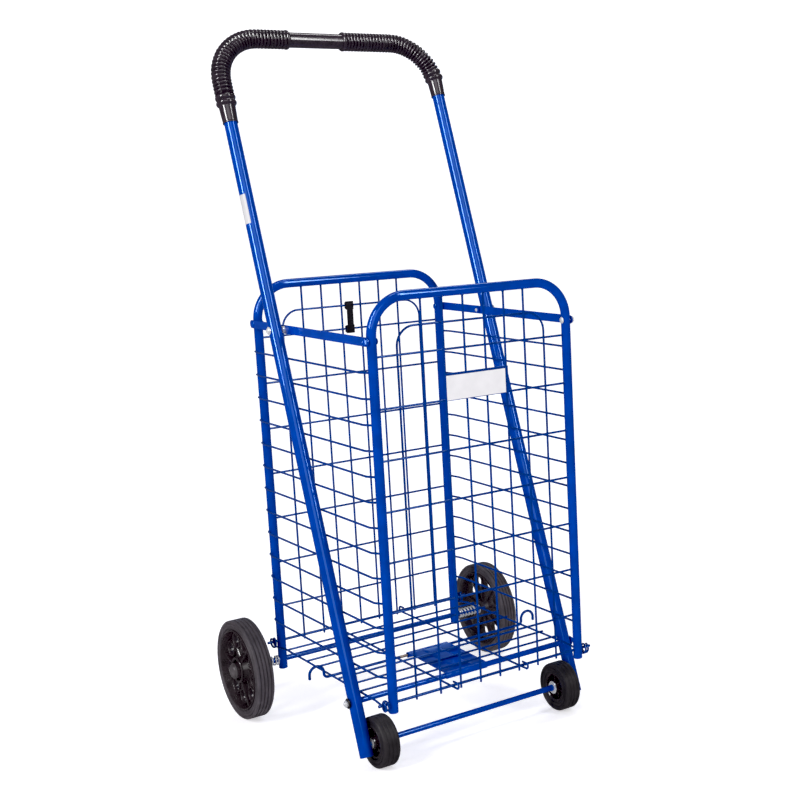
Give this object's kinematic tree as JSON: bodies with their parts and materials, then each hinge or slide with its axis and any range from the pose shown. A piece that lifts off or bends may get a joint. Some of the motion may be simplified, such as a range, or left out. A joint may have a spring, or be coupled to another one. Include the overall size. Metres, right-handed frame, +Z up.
{
  "type": "rolling basket trolley",
  "caption": "Folding wire basket trolley with a tall hand grip, large rear wheels and small front wheels.",
  "frame": {"origin": "on the floor, under the middle of the trolley's bounding box", "axes": "+Z up, -Y towards the front of the trolley, where the small wheels are, +X to its right"},
  "size_m": [0.47, 0.4208, 1.0027],
  "materials": {
    "blue_paint": "glossy royal blue paint",
    "zinc_steel": "bright zinc plate",
    "grip_plastic": "glossy black plastic",
    "black_plastic": "moulded black plastic",
    "tyre_rubber": "dull dark rubber",
    "label_white": "smooth white"
  },
  "bodies": {
    "rear_frame": {"rear_frame_tube": "blue_paint", "rear_wire_panel": "blue_paint", "rear_axle": "blue_paint", "panel_clip": "black_plastic", "axle_spring_left": "zinc_steel", "axle_spring_right": "zinc_steel", "strap_rivet_left": "zinc_steel", "strap_rivet_right": "zinc_steel"},
    "strap_links": {"strap_left": "blue_paint", "strap_right": "blue_paint"},
    "front_frame": {"front_frame_tube": "blue_paint", "front_wire_panel": "blue_paint", "label_plate": "label_white", "strap_bolt_left": "zinc_steel", "strap_bolt_right": "zinc_steel"},
    "handle_frame": {"handle_tube": "blue_paint", "grip_left": "grip_plastic", "grip_centre": "grip_plastic", "grip_right": "grip_plastic", "front_crossbar": "blue_paint", "front_axle": "blue_paint", "handle_bolt_left": "zinc_steel", "handle_bolt_right": "zinc_steel"},
    "floor": {"floor_grid": "blue_paint", "hooked_rod": "blue_paint"},
    "link_plate": {"link_plate": "blue_paint"},
    "side_wires_01": {"side_wire_01_left": "blue_paint", "side_wire_01_right": "blue_paint"},
    "side_wires_02": {"side_wire_02_left": "blue_paint", "side_wire_02_right": "blue_paint"},
    "side_wires_03": {"side_wire_03_left": "blue_paint", "side_wire_03_right": "blue_paint"},
    "side_wires_04": {"side_wire_04_left": "blue_paint", "side_wire_04_right": "blue_paint"},
    "side_wires_05": {"side_wire_05_left": "blue_paint", "side_wire_05_right": "blue_paint"},
    "side_wires_06": {"side_wire_06_left": "blue_paint", "side_wire_06_right": "blue_paint"},
    "side_wires_07": {"side_wire_07_left": "blue_paint", "side_wire_07_right": "blue_paint"},
    "side_wires_08": {"side_wire_08_left": "blue_paint", "side_wire_08_right": "blue_paint"},
    "side_wires_09": {"side_wire_09_left": "blue_paint", "side_wire_09_right": "blue_paint"},
    "side_wires_10": {"side_wire_10_left": "blue_paint", "side_wire_10_right": "blue_paint"},
    "side_wires_11": {"side_wire_11_left": "blue_paint", "side_wire_11_right": "blue_paint"},
    "side_wires_12": {"side_wire_12_left": "blue_paint", "side_wire_12_right": "blue_paint"},
    "side_wires_13": {"side_wire_13_left": "blue_paint", "side_wire_13_right": "blue_paint"},
    "rear_wheel_left": {"rear_tyre_left": "tyre_rubber", "rear_rim_left": "black_plastic"},
    "front_wheel_left": {"front_tyre_left": "tyre_rubber", "front_rim_left": "black_plastic"},
    "rear_wheel_right": {"rear_tyre_right": "tyre_rubber", "rear_rim_right": "black_plastic"},
    "front_wheel_right": {"front_tyre_right": "tyre_rubber", "front_rim_right": "black_plastic"}
  },
  "joints": [
    {"name": "strap_fold", "type": "hinge", "parent": "rear_frame", "child": "strap_links", "pos_m": [0, 0.13645, 0.583], "axis": [-1, 0, 0], "range_deg": [0, 72]},
    {"name": "front_frame_pivot", "type": "hinge", "parent": "strap_links", "child": "front_frame", "pos_m": [0, -0.20355, 0.583], "axis": [-1, 0, 0], "range_deg": [-72, 0]},
    {"name": "handle_pivot", "type": "hinge", "parent": "strap_links", "child": "handle_frame", "pos_m": [0, 0.02975, 0.583], "axis": [-1, 0, 0], "range_deg": [-83.4, 0]},
    {"name": "floor_hinge", "type": "hinge", "parent": "rear_frame", "child": "floor", "pos_m": [0, 0.13645, 0.1035], "axis": [-1, 0, 0], "range_deg": [0, 72]},
    {"name": "plate_hinge", "type": "hinge", "parent": "floor", "child": "link_plate", "pos_m": [0, -0.03555, 0.0958], "axis": [-1, 0, 0], "range_deg": [-136.8, 0]},
    {"name": "side_wire_01_hinge", "type": "hinge", "parent": "front_frame", "child": "side_wires_01", "pos_m": [0, -0.20355, 0.5432], "axis": [-1, 0, 0], "range_deg": [0, 72]},
    {"name": "side_wire_02_hinge", "type": "hinge", "parent": "front_frame", "child": "side_wires_02", "pos_m": [0, -0.20355, 0.5094], "axis": [-1, 0, 0], "range_deg": [0, 72]},
    {"name": "side_wire_03_hinge", "type": "hinge", "parent": "front_frame", "child": "side_wires_03", "pos_m": [0, -0.20355, 0.4756], "axis": [-1, 0, 0], "range_deg": [0, 72]},
    {"name": "side_wire_04_hinge", "type": "hinge", "parent": "front_frame", "child": "side_wires_04", "pos_m": [0, -0.20355, 0.4418], "axis": [-1, 0, 0], "range_deg": [0, 72]},
    {"name": "side_wire_05_hinge", "type": "hinge", "parent": "front_frame", "child": "side_wires_05", "pos_m": [0, -0.20355, 0.408], "axis": [-1, 0, 0], "range_deg": [0, 72]},
    {"name": "side_wire_06_hinge", "type": "hinge", "parent": "front_frame", "child": "side_wires_06", "pos_m": [0, -0.20355, 0.3742], "axis": [-1, 0, 0], "range_deg": [0, 72]},
    {"name": "side_wire_07_hinge", "type": "hinge", "parent": "front_frame", "child": "side_wires_07", "pos_m": [0, -0.20355, 0.3404], "axis": [-1, 0, 0], "range_deg": [0, 72]},
    {"name": "side_wire_08_hinge", "type": "hinge", "parent": "front_frame", "child": "side_wires_08", "pos_m": [0, -0.20355, 0.3066], "axis": [-1, 0, 0], "range_deg": [0, 72]},
    {"name": "side_wire_09_hinge", "type": "hinge", "parent": "front_frame", "child": "side_wires_09", "pos_m": [0, -0.20355, 0.2728], "axis": [-1, 0, 0], "range_deg": [0, 72]},
    {"name": "side_wire_10_hinge", "type": "hinge", "parent": "front_frame", "child": "side_wires_10", "pos_m": [0, -0.20355, 0.239], "axis": [-1, 0, 0], "range_deg": [0, 72]},
    {"name": "side_wire_11_hinge", "type": "hinge", "parent": "front_frame", "child": "side_wires_11", "pos_m": [0, -0.20355, 0.2052], "axis": [-1, 0, 0], "range_deg": [0, 72]},
    {"name": "side_wire_12_hinge", "type": "hinge", "parent": "front_frame", "child": "side_wires_12", "pos_m": [0, -0.20355, 0.1714], "axis": [-1, 0, 0], "range_deg": [0, 72]},
    {"name": "side_wire_13_hinge", "type": "hinge", "parent": "front_frame", "child": "side_wires_13", "pos_m": [0, -0.20355, 0.1376], "axis": [-1, 0, 0], "range_deg": [0, 72]},
    {"name": "rear_wheel_left_spin", "type": "hinge", "parent": "rear_frame", "child": "rear_wheel_left", "pos_m": [-0.212, 0.13645, 0.074], "axis": [1, 0, 0], "continuous": true},
    {"name": "front_wheel_left_spin", "type": "hinge", "parent": "handle_frame", "child": "front_wheel_left", "pos_m": [-0.1505, -0.15792, 0.0355], "axis": [1, 0, 0], "continuous": true},
    {"name": "rear_wheel_right_spin", "type": "hinge", "parent": "rear_frame", "child": "rear_wheel_right", "pos_m": [0.212, 0.13645, 0.074], "axis": [1, 0, 0], "continuous": true},
    {"name": "front_wheel_right_spin", "type": "hinge", "parent": "handle_frame", "child": "front_wheel_right", "pos_m": [0.1505, -0.15792, 0.0355], "axis": [1, 0, 0], "continuous": true}
  ],
  "couplings": [
    {"joint": "front_frame_pivot", "follows": "strap_fold", "ratio": -1},
    {"joint": "handle_pivot", "follows": "strap_fold", "ratio": -1.1583},
    {"joint": "floor_hinge", "follows": "strap_fold", "ratio": 1},
    {"joint": "plate_hinge", "follows": "strap_fold", "ratio": -1.8997},
    {"joint": "side_wire_01_hinge", "follows": "strap_fold", "ratio": 0.98531},
    {"joint": "side_wire_02_hinge", "follows": "strap_fold", "ratio": 0.98531},
    {"joint": "side_wire_03_hinge", "follows": "strap_fold", "ratio": 0.98531},
    {"joint": "side_wire_04_hinge", "follows": "strap_fold", "ratio": 0.98531},
    {"joint": "side_wire_05_hinge", "follows": "strap_fold", "ratio": 0.98531},
    {"joint": "side_wire_06_hinge", "follows": "strap_fold", "ratio": 0.98531},
    {"joint": "side_wire_07_hinge", "follows": "strap_fold", "ratio": 0.98531},
    {"joint": "side_wire_08_hinge", "follows": "strap_fold", "ratio": 0.98531},
    {"joint": "side_wire_09_hinge", "follows": "strap_fold", "ratio": 0.98531},
    {"joint": "side_wire_10_hinge", "follows": "strap_fold", "ratio": 0.98531},
    {"joint": "side_wire_11_hinge", "follows": "strap_fold", "ratio": 0.98531},
    {"joint": "side_wire_12_hinge", "follows": "strap_fold", "ratio": 0.98531},
    {"joint": "side_wire_13_hinge", "follows": "strap_fold", "ratio": 0.98531}
  ]
}
